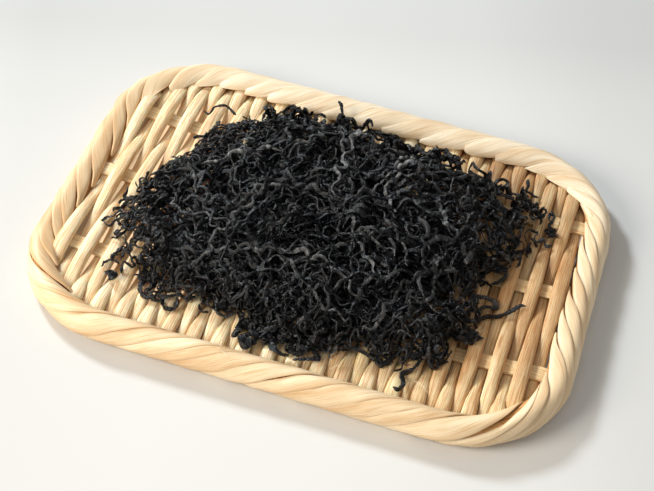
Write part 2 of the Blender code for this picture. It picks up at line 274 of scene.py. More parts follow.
def attribute(tree, name):
    return add_node(tree, "ShaderNodeAttribute", {}, attribute_name=name)


def object_place(tree):
    return add_node(tree, "ShaderNodeTexCoord", {}).outputs["Object"]


def linear(red, green, blue):
    """A colour given in 0-255 screen values, for a shader."""
    def one(value):
        value /= 255
        return value / 12.92 if value <= 0.04045 else ((value + 0.055) / 1.055) ** 2.4
    return (one(red), one(green), one(blue), 1.0)


def ramp(tree, factor, stops):
    node = add_node(tree, "ShaderNodeValToRGB", {"Fac": factor})
    band = node.color_ramp
    while len(band.elements) < len(stops):
        band.elements.new(0.5)
    for element, (place, colour) in zip(band.elements, stops):
        element.position = place
        element.color = colour
    return node.outputs["Color"]


def mix(tree, factor, first, second, blend="MIX"):
    inputs = {0: factor, 6: first, 7: second}
    return add_node(tree, "ShaderNodeMix", inputs, data_type="RGBA", blend_type=blend).outputs[2]


def noise(tree, place, scale, detail, rough):
    inputs = {"Vector": place, "Scale": scale, "Detail": detail, "Roughness": rough}
    return add_node(tree, "ShaderNodeTexNoise", inputs).outputs["Fac"]


def fibre_noise(tree, scale, detail=3.0, rough=0.6):
    """Noise in the "fibre" attribute's own space: across, along and through a piece, in mm."""
    inputs = {0: attribute(tree, "fibre").outputs["Vector"], 1: scale}
    stretched = add_node(tree, "ShaderNodeVectorMath", inputs, operation="MULTIPLY")
    return noise(tree, stretched.outputs[0], 1.0, detail, rough)


def relief(tree, height, strength, depth):
    inputs = {"Height": height, "Strength": strength, "Distance": depth}
    return add_node(tree, "ShaderNodeBump", inputs).outputs["Normal"]


def mix_with_white(colour, share):
    """A colour at a share of its strength, the rest white."""
    return tuple(1 - share * (1 - part) for part in colour)


def bamboo_material(name, pale, deep, brown, streak, bump, roughness, grain):
    """Split bamboo: pale ground, lengthwise streaks, a few brown fibres, darker where the tone is low,
    which carries random tone and painted shade.
    """
    pale, deep, brown = linear(*pale), linear(*deep), linear(*brown)
    material, tree, shader = new_material(name)
    fine = fibre_noise(tree, (streak, streak / 40, streak), 4.0, 0.65)
    broad = fibre_noise(tree, (0.16, 0.022, 0.16), 2.0)
    fibres = fibre_noise(tree, (3.4, 0.05, 3.4), 2.0, 0.5)
    tone = attribute(tree, "tone").outputs["Fac"]
    ground = ramp(tree, fine, ((0.37, deep), (0.55, pale), (0.75, pale)))
    patchy = ramp(tree, broad, ((0.42, WHITE), (0.66, brown)))
    colour = mix(tree, 0.55, ground, patchy, "MULTIPLY")
    specks = fibre_noise(tree, (5.0, 0.7, 5.0), 3.0, 0.7)
    mottle = ramp(tree, specks, ((0.30, mix_with_white(brown, 0.5 * grain)), (0.50, WHITE)))
    colour = mix(tree, 1.0, colour, mottle, "MULTIPLY")
    threads = fibre_noise(tree, (3.3, 0.07, 3.3), 2.0, 0.5)
    drawn = ramp(tree, threads, ((0.40, mix_with_white(brown, grain)), (0.52, WHITE)))
    colour = mix(tree, 1.0, colour, drawn, "MULTIPLY")
    lines = ramp(tree, fibres, ((0.60, BLACK), (0.70, WHITE)))
    colour = mix(tree, lines, colour, mix(tree, 1.0, colour, brown, "MULTIPLY"))
    shade = ramp(tree, tone, ((0.0, brown), (0.45, (1.0, 0.92, 0.78, 1)), (0.8, WHITE)))
    colour = mix(tree, 0.75, colour, shade, "MULTIPLY")
    feed(tree, shader, {
        "Base Color": colour, "Normal": relief(tree, fine, bump, 0.0004), "Roughness": roughness,
        "Specular IOR Level": 0.35,
    })
    return material


def seaweed_material():
    """Nearly black, grey where the tone is high, partly the strands' own colour and partly painted
    highlight, with a paler and glossier bloom in places, partly real bloom and partly painted sheen.
    """
    material, tree, shader = new_material("dried seaweed")
    tone = attribute(tree, "tone").outputs["Fac"]
    place = object_place(tree)
    fine = noise(tree, place, 1300.0, 4.0, 0.65)
    broad = noise(tree, place, 420.0, 3.0, 0.6)
    ground = ramp(tree, tone, (
        (0.0, (0.0012, 0.0017, 0.0031, 1)),
        (0.35, (0.0015, 0.0020, 0.0036, 1)),
        (0.55, (0.0075, 0.0086, 0.0112, 1)),
        (1.0, (0.1120, 0.1130, 0.1160, 1)),
    ))
    # Paler patches: the dried seaweed's bloom, and painted sheen.
    bloom_and_painted_sheen = ramp(tree, broad, ((0.48, BLACK), (0.66, WHITE)))
    colour = mix(tree, bloom_and_painted_sheen, ground, mix(tree, 1.0, ground, (3.0, 3.0, 2.9, 1), "MULTIPLY"))
    rough = add_node(tree, "ShaderNodeMapRange", {"Value": broad, "To Min": 0.44, "To Max": 0.20})
    feed(tree, shader, {
        "Base Color": colour, "Normal": relief(tree, fine, 0.9, 0.0005),
        "Roughness": rough.outputs["Result"], "Specular IOR Level": 0.40,
    })
    return material


# name, pale, deep and brown, streaks per mm, relief, roughness and grain
WOODS = (
    ("bamboo rod", (255, 246, 214), (241, 209, 165), (206, 171, 130), 2.6, 0.7, 0.5, 0.66),
    ("bamboo slat", (255, 242, 208), (242, 214, 168), (214, 178, 130), 3.2, 0.5, 0.5, 0.5),
    ("bamboo strip", (252, 241, 220), (242, 224, 193), (221, 193, 156), 2.6, 0.22, 0.45, 0.25),
    # The inner roll's darker colours are painted shade for the gaps between the strips.
    ("shaded bamboo inside", (228, 186, 128), (192, 142, 88), (200, 150, 98), 2.4, 0.6, 0.7, 0.5),
)
ROD_WOOD, SLAT_WOOD, STRIP_WOOD, INNER_SHADE_WOOD = (bamboo_material(*wood) for wood in WOODS)
# The thin rods let a little light through.
feed(ROD_WOOD.node_tree, ROD_WOOD.node_tree.nodes["Principled BSDF"], {
    "Subsurface Weight": 0.32, "Subsurface Radius": (1.0, 0.45, 0.2), "Subsurface Scale": 0.003,
})
SEAWEED = seaweed_material()


# Rods and slats.

ROD_STATIONS = 58
ROD_SIDES = 14
ROD_INTO_RIM = 3.2
ROD_END_DROP = 2.4
ROD_POWERS = (0.82, 0.76)  # how square the section is, across and up
# How much wider a rod is over and under a slat, and at its ends where it is high and where low.
ROD_SWELLS = (0.16, -0.06)
ROD_END_SWELLS = (0.18, -0.14)
ROD_TONES = (0.62, 1.0)


def near_end(from_end, length):
    """1 at a piece's end, and 0 from a length inside it on."""
    return unit(1 - from_end / length)


def squared(angle, power_across, power_up):
    """Cosine and sine of an angle, drawn out towards a square by powers below 1."""
    cos, sin = np.cos(angle), np.sin(angle)
    return np.sign(cos) * np.abs(cos) ** power_across, np.sign(sin) * np.abs(sin) ** power_up


def make_rods():
    draw = np.random.default_rng(11)
    angle = TURN * np.arange(ROD_SIDES) / ROD_SIDES
    for number in range(1, ROD_COUNT + 1):
        x_middle = (number - (ROD_COUNT + 1) / 2) * ROD_PITCH
        end = reach(x_middle, RIM_HALF_WIDTH, RIM_HALF_LENGTH, RIM_WALL) + ROD_INTO_RIM
        y = np.linspace(-end, end, ROD_STATIONS)[:, None]
        from_end = end - np.abs(y)
        sign = 1 if number % 2 == 1 else -1
        over = sign * swing(y) / ROD_SWING
        x = x_middle + draw.uniform(-0.25, 0.25) * np.sin(y / 31 + draw.uniform(0, TURN))
        lift = 0.11 * np.sin(y / draw.uniform(17, 29) + draw.uniform(0, TURN))
        z = weave_plane(x, y) + sign * swing(y) + lift
        z -= ROD_END_DROP * near_end(from_end, 12.0) ** 1.5
        swell = ROD_SWELLS[0] * np.maximum(over, 0) + ROD_SWELLS[1] * np.maximum(-over, 0)
        end_swell = np.where(over > 0, *ROD_END_SWELLS) * near_end(from_end, 20.0)
        bow = 1 + 0.03 * np.sin(y / draw.uniform(9, 16) + draw.uniform(0, TURN))
        width = ROD_WIDTH / 2 * (1 + swell + end_swell) * bow * draw.uniform(0.98, 1.03)
        thin = 1 - 0.25 * near_end(from_end, 10.0) ** 1.6
        height = ROD_THICKNESS / 2 * thin * draw.uniform(0.96, 1.02)
        facet = 1 + 0.04 * draw.normal(size=ROD_SIDES)
        facet = 0.5 * facet + 0.25 * (np.roll(facet, 1) + np.roll(facet, -1))
        waver = 1 + 0.02 * np.sin(y / 7.0 + draw.uniform(0, TURN, ROD_SIDES))
        out, up = (part * facet * waver for part in squared(angle, *ROD_POWERS))
        points = columns(x + out * width, y, z + up * height)
        # Each rod is cut from its own place in the noise.
        fibre = columns(
            out * ROD_WIDTH / 2 + number * 17.0, y + number * 53.0, up * ROD_THICKNESS / 2
        )
        # Rods towards the right are darker: painted shade of the heap over them, and stains.
        painted_shade_and_stain = 0.76 * unit((x_middle - 8) / 56)
        # The rods' near ends are lighter: painted light where they slope down away from the lamps.
        painted_near_light = 0.26 * unit((-y - 20) / 40)
        # A rod is a little darker where it passes over a slat and lighter where it passes under:
        # painted shade on the lit tops, painted light in the shade below.
        tone = unit(draw.uniform(*ROD_TONES) - painted_shade_and_stain + painted_near_light - 0.10 * over)
        item = make_mesh_object(
            f"bamboo_rod_{number:02d}", points, tube_polygons(1, ROD_STATIONS, ROD_SIDES),
            ROD_WOOD, np.repeat(tone, ROD_SIDES), fibre,
        )
        put(item, "bamboo_rod", f"rod_{number:02d}")


SLAT_STATIONS = 90
SLAT_INTO_RIM = 3.0
SLAT_END_DROP = 1.2
# Half of a slat's width and of its thickness are 1 here. Two grooves run along its upper face.
SLAT_PROFILE = (
    (-1, 0), (-0.94, -0.8), (-0.5, -1), (0.5, -1), (0.94, -0.8), (1, 0), (0.95, 0.72), (0.72, 1),
    (0.56, 0.92), (0.5, 0.66), (0.44, 0.92), (0.22, 1), (0.06, 0.94), (0, 0.7), (-0.06, 0.94),
    (-0.28, 1), (-0.42, 0.92), (-0.48, 0.66), (-0.54, 0.92), (-0.74, 1), (-0.95, 0.72),
)


def make_slats():
    draw = np.random.default_rng(23)
    profile = np.array(SLAT_PROFILE)
    for order, (node, y_middle) in enumerate(SLATS.items()):
        end = reach(y_middle, RIM_HALF_LENGTH, RIM_HALF_WIDTH, RIM_WALL) + SLAT_INTO_RIM
        x = np.linspace(-end, end, SLAT_STATIONS)[:, None]
        sway = 0.25 * np.sin(x / 37 + draw.uniform(0, TURN)) + 0.1 * np.sin(x / 9)
        width = SLAT_WIDTH / 2 * (1 + 0.03 * np.sin(x / 21 + draw.uniform(0, TURN)))
        y = y_middle + sway + profile[:, 0] * width
        z = weave_plane(x, y) + profile[:, 1] * SLAT_THICKNESS / 2
        z -= SLAT_END_DROP * near_end(end - np.abs(x), 6.0) ** 1.5
        fibre = columns(
            profile[:, 0] * SLAT_WIDTH / 2 + order * 23.0, x + order * 71.0, profile[:, 1]
        )
        # Slats are lighter at the left and darker towards the right: painted light and painted shade,
        # as on the rods.
        tone = 0.95 - 0.55 * unit((x + 60) / 120)
        item = make_mesh_object(
            f"bamboo_{node}", columns(x, y, z), tube_polygons(1, SLAT_STATIONS, len(profile)),
            SLAT_WOOD, np.repeat(tone, len(profile)), fibre,
        )
        put(item, "bamboo_slat", node)


# The border: overlapping strips that wind round a dark inner roll.

STRIP_LEAD = 72
SHORT_SIDE_LEAD = 28  # how much longer the lead is along a short side
# Where each strip's upper edge crosses the top of the border, as a distance round it.
STRIP_EDGES = (
    4, 19, 33, 47, 62, 75, 90, 102, 115, 130, 148, 165, 182, 201, 219, 232, 246, 261, 273, 286,
    300, 317, 337, 352, 368, 392, 409, 425, 435, 450, 466, 482, 497, 519, 534, 546, 556, 571,
    587, 602, 622, 637, 648, 672, 686, 697,
)
STRIP_CLEFTS = {686: 4.6, 482: 1.2, 602: 0.8}  # a strip that starts this far past the one before
STRIP_LAP = 4.4
STRIP_THICKNESS = 0.55
STRIP_COLUMNS = 13
STRIP_ACROSS = np.cos(np.pi * np.linspace(0, 1, STRIP_COLUMNS))
STRIP_ACROSS = 0.5 - 0.5 * STRIP_ACROSS * (0.72 + 0.28 * np.abs(STRIP_ACROSS))
STRIP_ROWS = 38
STRIP_START = -150
# Where a strip's end lies, in degrees round the border: on the short sides and on the long ones.
STRIP_TIPS = ((142, 166), (166, 194))
STRIP_SLANTS = ((16, 40), (8, 26))
# How far the ends reach on over the rods on the far side, and a little on the left side.
STRIP_REACH = 3.2
LEFT_STRIP_REACH = 1.4
# How much higher a strip's upper edge stands than its lower one: near side, right side, far and left.
STRIP_STEPS = ((0.50, 0.90), (1.0, 1.4), (1.3, 1.8))
STRIP_CREST = 6.52
STRIP_OUTERMOST = 6.66


def strip_end(facing, far, u, draw):
    """Where a strip ends, in degrees: cut aslant with a round tip, or a lobe on the far side."""
    side = 0 if abs(facing[0]) > 0.75 else 1
    tip = draw.uniform(*STRIP_TIPS[side]) + (8 if facing[0] < -0.75 else 0)
    heel = tip - draw.uniform(*STRIP_SLANTS[side]) - 24 * max(0, facing[0])
    cut = heel + (tip - heel) * np.sin(np.pi / 2 * u) - 12 * unit((u - 0.82) / 0.18) ** 2
    lobe = tip - 30 * np.abs((u - 0.45) / 0.55) ** 2.4
    return cut + far * (lobe - cut)


def strip_radius(facing, u, part, theta, draw):
    """How far a strip's outer face lies from the border's centreline."""
    crown = draw.uniform(0.15, 0.35)
    steep = facing[1] > 0.6 or facing[0] < -0.7
    tilt = draw.uniform(*STRIP_STEPS[0 if facing[1] < -0.6 else 2 if steep else 1])
    base = STRIP_CREST - tilt + draw.uniform(-0.10, 0.06)
    radius = base + tilt * u + crown * 4 * u * (1 - u) - 0.16 * unit((u - 0.9) / 0.1) ** 2
    radius = radius + 0.07 * np.sin(5 * theta + 9 * u + draw.uniform(0, TURN))
    tucked = 0.36 * tilt * unit((0.38 - u) / 0.38)
    return np.minimum(radius, STRIP_OUTERMOST) - tucked - 0.5 * unit((part - 0.93) / 0.07)


def strip_shape(edge, before, draw):
    """Points of one strip as (row, column, 3) for its outer and its inner face, and its fibres."""
    cleft = STRIP_CLEFTS.get(edge, 0.0)
    width = (edge - before) % RIM_LENGTH - cleft + (0 if cleft else STRIP_LAP)
    facing = rim_station(edge)[1]
    far = unit((facing[1] - 0.2) / 0.4)
    left = unit((-facing[0] - 0.5) / 0.3)
    u = STRIP_ACROSS
    part = np.linspace(0, 1, STRIP_ROWS)[:, None]
    degrees = STRIP_START + (strip_end(facing, far, u, draw) - STRIP_START) * part
    theta = np.radians(degrees)
    wave = 0.5 * np.sin(3 * theta + draw.uniform(0, TURN)) * draw.uniform(0.3, 1.0)
    wave_back = 0.6 * np.sin(4 * theta + draw.uniform(0, TURN))
    slant = (STRIP_LEAD + SHORT_SIDE_LEAD * facing[0] ** 2) * draw.uniform(0.94, 1.06)
    s = edge - width * (1 - u) + slant * (theta / TURN - 0.25) + wave * u + wave_back * (1 - u)
    radius = strip_radius(facing, u, part, theta, draw)
    # Past the crown the section is squarer, so that the strip lies over the rods' ends.
    inner = unit((degrees - 85) / 40) * unit(1.0 + (facing[1] + 0.3) / 0.4)
    side, rise = squared(theta, 1 - 0.30 * inner, 1 - 0.30 * inner)
    bulge = 1 + inner * (0.10 + 0.08 * np.sin(np.pi * u))
    place, outward = rim_station(s)
    onward = unit((degrees - 100) / 70)
    extra = (far * STRIP_REACH + LEFT_STRIP_REACH * left) * onward**2 * (3 - 2 * onward)
    faces = []
    for depth in (0.0, STRIP_THICKNESS):
        out = (radius - depth) * side * bulge - extra
        up = (radius - depth) * rise
        x, y = np.moveaxis(place + outward * out[..., None], -1, 0)
        height = np.maximum(RIM_RADIUS + up, 0.05 + depth)
        over_rods = weave_crest(x, y) - 0.8 - depth
        height = np.where(onward * far > 0.1, np.maximum(height, over_rods), height)
        faces.append(columns(x, y, height))
    # Each strip is cut from its own place in the noise.
    return faces, columns(u * width * 0.5 + edge * 3.1, degrees * 0.22 + edge * 7.7, 0.0)


def shell_polygons(rows, row_length):
    """A closed thin shell: the outer face's points come first, then the inner face's."""
    index = np.arange(rows * row_length).reshape(rows, row_length)
    inner = index + rows * row_length
    quads = [
        four(index[:-1, :-1], index[:-1, 1:], index[1:, 1:], index[1:, :-1]),
        four(inner[:-1, :-1], inner[1:, :-1], inner[1:, 1:], inner[:-1, 1:]),
    ]
    for line, under in (
        (index[:, 0], inner[:, 0]), (index[::-1, -1], inner[::-1, -1]),
        (index[0, ::-1], inner[0, ::-1]), (index[-1, :], inner[-1, :]),
    ):
        quads.append(four(line[:-1], line[1:], under[1:], under[:-1]))
    return np.concatenate(quads)


# Loose fibres that stand off the bamboo.
SPLINTERS = (
    ((-20.6, -82.2, 12.9), (-20.4, -79, 14.6), (-21.6, -76.4, 14.8)),
    ((-21.8, -80.6, 12.8), (-19.6, -82.4, 14), (-16, -83.6, 13.6)),
    ((24, -72.5, 9.2), (27, -70.2, 10.6), (30.5, -69, 9.6)),
    ((58, -66.5, 9.6), (61.5, -68.4, 11), (65, -71, 10.4)),
    ((76, -36, 9.8), (77.5, -33, 11.2), (78, -30, 10.2)),
)


def make_splinters():
    stations, sides = 12, 4
    lines = np.array([smooth_line(points, stations) for points in SPLINTERS])
    thin = np.full(lines.shape[:2], 0.13)
    rings = sweep(lines, thin, thin * 0.6, sides, np.zeros(thin.shape))
    polygons = tube_polygons(len(lines), stations, sides)
    item = make_mesh_object("bamboo_splinters", rings, polygons, STRIP_WOOD, 0.7, rings)
    put(item, "bamboo_strip")


def make_strips():
    draw = np.random.default_rng(31)
    points, fibres, tones, polygons = [], [], [], []
    shell = shell_polygons(STRIP_ROWS, STRIP_COLUMNS)
    # Each strip darkens towards its lower edge, tucked under the strip before, and a little at its
    # upper edge: painted shade in the creases between strips.
    painted_edge_shade = 0.36 * unit((0.2 - STRIP_ACROSS) / 0.2) + 0.2 * unit(STRIP_ACROSS * 8 - 7)
    for order, edge in enumerate(STRIP_EDGES):
        faces, fibre = strip_shape(edge, STRIP_EDGES[order - 1], draw)
        points += faces
        fibres += [fibre, fibre]
        facing = rim_station(edge)[1]
        # Strips on the far side are paler and those on the left and near sides darker: painted light
        # and shade for how each side faces the lamps.
        painted_light_by_side = 0.6 * max(0.0, facing[1]) - 0.34 * max(0.0, -facing[0]) - 0.10 * max(0.0, -facing[1])
        tone = draw.uniform(0.26, 0.54) + painted_light_by_side
        tones.append(np.tile(unit(tone - painted_edge_shade), 2 * STRIP_ROWS))
        polygons.append(shell + order * 2 * STRIP_ROWS * STRIP_COLUMNS)
    item = make_mesh_object(
        "rim_strips", np.concatenate(points), [np.concatenate(polygons)], STRIP_WOOD,
        np.concatenate(tones), np.concatenate(fibres),
    )
    item.data.set_sharp_from_angle(angle=math.radians(48))
    put(item, "bamboo_strip", "rim_border")


def make_rim_inside():
    """The roll that the strips wind round, a little wider on its inner side; its dark wood and low tone
    are painted shade for the gaps between the strips.
    """
    stations, sides = 240, 16
    s = RIM_LENGTH * np.arange(stations)[:, None] / stations
    angle = TURN * np.arange(sides) / sides
    rough = 5.0 + 0.8 * unit(-np.cos(angle)) ** 2 + 0.1 * np.sin(angle * 7 + s / 6)
    place, outward = rim_station(s)
    x, y = np.moveaxis(place + outward * (rough * np.cos(angle))[..., None], -1, 0)
    points = columns(x, y, RIM_RADIUS + rough * np.sin(angle))
    # Dark wood at a low tone: painted shade seen in the gaps between the strips.
    item = make_mesh_object(
        "rim_inside", points, tube_polygons(1, stations, sides, closed=True), INNER_SHADE_WOOD, 0.4,
        columns(angle * 5, s, rough),
    )
    put(item, "bamboo_strip")


# The heap.


def heap_radius(angle):
    return np.interp(np.degrees(angle), np.arange(0, 360, 10), HEAP_REACH, period=360)


def heap_ratio(x, y):
    away_x, away_y = x - HEAP_CENTRE[0], y - HEAP_CENTRE[1]
    return np.hypot(away_x, away_y) / heap_radius(np.arctan2(away_y, away_x))


def heap_height(x, y):
    """Height of the heap over the weave: the solids' own mound, falling to nothing outside it."""
    ratio = heap_ratio(x, y)
    inside = np.maximum(0.0, 1 - ratio**2)
    along, across, aslant = HEAP_LUMP_WAVES
    lumps = np.sin(x * along + 1.0) * np.sin(y * across + 0.5) + np.sin((x + y) * aslant)
    mound = HEAP_EDGE + (HEAP_PEAK - HEAP_EDGE) * inside**HEAP_FULLNESS + HEAP_LUMP * lumps * inside
    beyond = HEAP_EDGE * unit(1 - (ratio - 1) / 0.10)
    return np.where(ratio < 1, mound, beyond)


def from_centre(angle, radius):
    return HEAP_CENTRE[0] + radius * np.cos(angle), HEAP_CENTRE[1] + radius * np.sin(angle)


def make_heap_core(draw):
    """The middle that the strands lie on, well below the heap's surface, at the darkest tone as painted
    shade of the strands inside.
    """
    rings, sectors = 26, 96
    angle = TURN * np.arange(sectors) / sectors
    ragged = 0.74 + 0.05 * np.sin(5 * angle + 1) + 0.04 * np.sin(11 * angle) + 0.02 * np.sin(23 * angle)
    # It reaches further at the left and less far on the far side, where the tray shows through.
    ragged += 0.05 * np.exp(-(((angle - 3.4) / 0.5) ** 2))
    ragged -= 0.12 * np.exp(-(((angle - 1.2) / 0.7) ** 2))
    part = (np.arange(1, rings + 1) / rings)[:, None]
    x, y = from_centre(angle, heap_radius(angle) * ragged * part)
    crest = weave_crest(x, y)
    mound = heap_height(x, y) * (0.62 - 0.1 * part) * np.maximum(0, 1 - part**6) ** 0.5
    bumps = draw.normal(size=x.shape) * 0.55 * (1 - part**4)
    top = columns(x, y, crest + 0.3 + np.maximum(0.1, mound + bumps))
    base = columns(x, y, crest + 0.15)[::-1]
    middle = weave_crest(*HEAP_CENTRE)
    points = np.concatenate([
        [[*HEAP_CENTRE, middle + 0.6 * heap_height(*HEAP_CENTRE)]], top.reshape(-1, 3),
        base.reshape(-1, 3), [[*HEAP_CENTRE, middle + 0.15]],
    ])
    ring = np.arange(2 * rings - 1)[:, None] * sectors
    side = np.arange(sectors)
    other = (side + 1) % sectors
    quads = 1 + four(ring + side, ring + sectors + side, ring + sectors + other, ring + other)
    first = columns(0, 1 + side, 1 + other)
    last = 1 + (2 * rings - 1) * sectors
    end = columns(last + sectors, last + other, last + side)
    # The darkest tone: painted shade of the strands deep in the heap.
    item = make_mesh_object("hijiki_core", points, [quads, first, end], SEAWEED, 0.1)
    put(item, "hijiki")


# Each wave of a strand's bends: its lengths in mm and how far it turns the strand, in radians.
STRAND_BENDS = (((12, 20), 1.05), ((6.5, 10), 0.62), ((3.6, 5.2), 0.22))


def strand_paths(draw, x, y, heading, length, curl, stations):
    """Wavy lines round their middles: across, along and up."""
    count = len(x)
    t = np.linspace(0, 1, stations)
    run = length[:, None] * t
    turn = heading[:, None] + draw.normal(0, 0.8, (count, 1)) * (t - 0.5)
    for wave_range, strength in STRAND_BENDS:
        wave = draw.uniform(*wave_range, (count, 1))
        size = curl[:, None] * strength * draw.uniform(0.35, 1.35, (count, 1))
        turn = turn + size * np.sin(TURN * run / wave + draw.uniform(0, TURN, (count, 1)))
    hook = draw.uniform(-1, 1, (count, 1)) ** 3 * 5.5
    turn = turn + hook * unit((t - 0.70) / 0.30) ** 1.5
    tilt = draw.uniform(0.25, 0.85, (count, 1)) * np.sin(
        TURN * run / draw.uniform(7, 15, (count, 1)) + draw.uniform(0, TURN, (count, 1))
    )
    step = (length / (stations - 1))[:, None]
    half = stations // 2
    lines = []
    for part in (np.cos(turn) * np.cos(tilt), np.sin(turn) * np.cos(tilt), np.sin(tilt)):
        line = np.cumsum(part * step, axis=1) + draw.normal(0, 0.08, (count, stations))
        lines.append(line - line[:, half:half + 1])
    return x[:, None] + lines[0], y[:, None] + lines[1], lines[2] - lines[2].mean(1, keepdims=True)


HEAP_TUFTS = ((7, 0.025), (13, 0.035), (23, 0.030), (41, 0.020))  # waves round the heap, and size
# Sides of the heap: a direction from its centre, and how wide, in degrees.
FAR_SIDE = (75, 42)
LEFT_SIDE = (190, 35)
RIGHT_BAY = (-3, 10)


def towards(direction, middle, width):
    """1 in one direction from the heap's centre, and less to both sides of it."""
    away = (np.degrees(direction) - middle + 180) % 360 - 180
    return np.exp(-((away / width) ** 2))


def gather(px, py, knee, room, thinned=0.0):
    """Draws points outside the heap back to its edge, and by `thinned` more on its far side."""
    direction = np.arctan2(py - HEAP_CENTRE[1], px - HEAP_CENTRE[0])
    ragged = sum(size * np.sin(waves * direction + waves) for waves, size in HEAP_TUFTS)
    knee = knee + ragged - thinned * towards(direction, *FAR_SIDE)
    knee = knee + 0.02 * towards(direction, *LEFT_SIDE) - 0.15 * towards(direction, *RIGHT_BAY)
    ratio = heap_ratio(px, py)
    past = np.maximum(0.0, ratio - knee)
    drawn = np.where(ratio > knee, knee + room * (1 - np.exp(-past / room)), ratio) / ratio
    return tuple(centre + (place - centre) * drawn for centre, place in zip(HEAP_CENTRE, (px, py)))


BORDER_INSET = 8.2


def settle(px, py, rise, level, radius):
    """Lays strands on the heap: over the weave, inside the border and under the heap's top."""
    inset = BORDER_INSET + radius
    limit = reach(px, RIM_HALF_WIDTH, RIM_HALF_LENGTH, inset)
    px = np.clip(px, -(RIM_HALF_LENGTH - inset), RIM_HALF_LENGTH - inset)
    py = np.clip(py, -limit, limit)
    floor = weave_crest(px, py) + radius
    z = np.minimum(floor + np.maximum(0.0, level * heap_height(px, py) + rise), HEAP_TOP - radius)
    return columns(px, py, z)


def taper(t):
    return np.clip(1 - np.abs(2 * t - 1) ** 9, 0.10, 1) ** 0.5


# A patch of painted shade over the strands: a place on the tray, how far round it, and by how much.
PAINTED_SHADE_PLACE = (14.0, -8.0, 32.0, 24.0)
PAINTED_SHADE_DEPTH = 0.36
STRAND_RIDGES = 0.15


def add_strand_piece(name, draw, paths, thickness, flatness, tone, sides):
    count, stations = paths.shape[:2]
    t = np.linspace(0, 1, stations)
    phase, waves = draw.uniform(0, TURN, (count, 1)), draw.uniform(1, 3.5, (count, 1))
    swell = 1 + 0.18 * np.sin(TURN * t * waves + phase) + 0.15 * draw.normal(size=(count, stations))
    radius = thickness[:, None] * taper(t) * np.clip(swell, 0.6, 1.4)
    twist = draw.uniform(0, TURN, (count, 1)) + draw.uniform(-9, 9, (count, 1)) * t
    wide = radius * (1 + flatness[:, None] * 0.45)
    slim = radius * (1 - flatness[:, None] * 0.5)
    rings = sweep(paths, wide, slim, sides, twist, STRAND_RIDGES)
    away = (paths[..., 0] - PAINTED_SHADE_PLACE[0]) / PAINTED_SHADE_PLACE[2], (paths[..., 1] - PAINTED_SHADE_PLACE[1]) / PAINTED_SHADE_PLACE[3]
    painted_shade_factor = 1 - PAINTED_SHADE_DEPTH * np.exp(-(away[0] ** 2) - away[1] ** 2)
    mottled = tone[:, None] * painted_shade_factor + 0.09 * draw.normal(size=(count, stations))
    tones = np.repeat(unit(mottled), sides)
    polygons = tube_polygons(count, stations, sides)
    item = make_mesh_object(name, rings, polygons, SEAWEED, tones, smooth=False)
    put(item, "hijiki", "hijiki_heap")


def scattered(draw, count, reach_part):
    """Places spread about evenly over the heap's footprint."""
    angle = draw.uniform(0, TURN, count)
    part = draw.uniform(0, 1, count) ** 0.55 * reach_part
    return from_centre(angle, heap_radius(angle) * part)


# The lower layers' tones are darker and the top and long strands' lighter: painted shade deep in the
# heap and painted light on its top, besides each strand's own random tone.
# name, how many, how far out, levels, lengths, radii, curls, tones, stations, sides
STRAND_LAYERS = (
    ("hijiki_bed", 430, 0.95, (0.06, 0.60), (22, 44), (0.28, 0.62), (0.8, 1.5), (1.2, 6.0), 26, 4),
    ("hijiki_middle", 520, 0.95, (0.46, 0.90), (22, 46), (0.26, 0.62), (0.8, 1.5), (1.2, 5.4), 31, 5),
    ("hijiki_top", 380, 0.93, (0.78, 1.03), (30, 62), (0.32, 0.78), (0.6, 1.35), (1.0, 4.0), 46, 5),
    ("hijiki_long", 80, 0.76, (1.03, 1.13), (44, 82), (0.48, 0.88), (0.42, 0.85), (3, 3), 68, 6),
)
# Where the tray shows through the heap: x, y and size. The far side's gaps are long, as the strands
# before them stand high.
LEFT_HOLES = (
    (-66, -19, 1.5), (-67, -9, 1.6), (-60, -8, 1.3), (-46, -16, 1.5), (-48, -30, 1.3), (-75, -30, 1.3),
)
FAR_HOLES = tuple(
    (x + 0.3 * step, y - 3 * step, 2.1)
    for x, y in ((-14, 48), (6, 69), (20, 53), (37, 65), (55, 55), (70, 43)) for step in range(3)
)
EDGE_COUNT = 500
EDGE_LEFT = 150  # of these, so many at its low left end
EDGE_LEFT_DIRECTIONS = (150, 245)
FRINGE_COUNT = 76
FRINGE_DIRECTIONS = (22, 138)
# Short strands moved from the far side to the near one, so that the fringe stands open: a direction
# and how far to both sides of it, in radians, and the share.
THINNED_EDGE = (1.3, 0.7, 0.85)

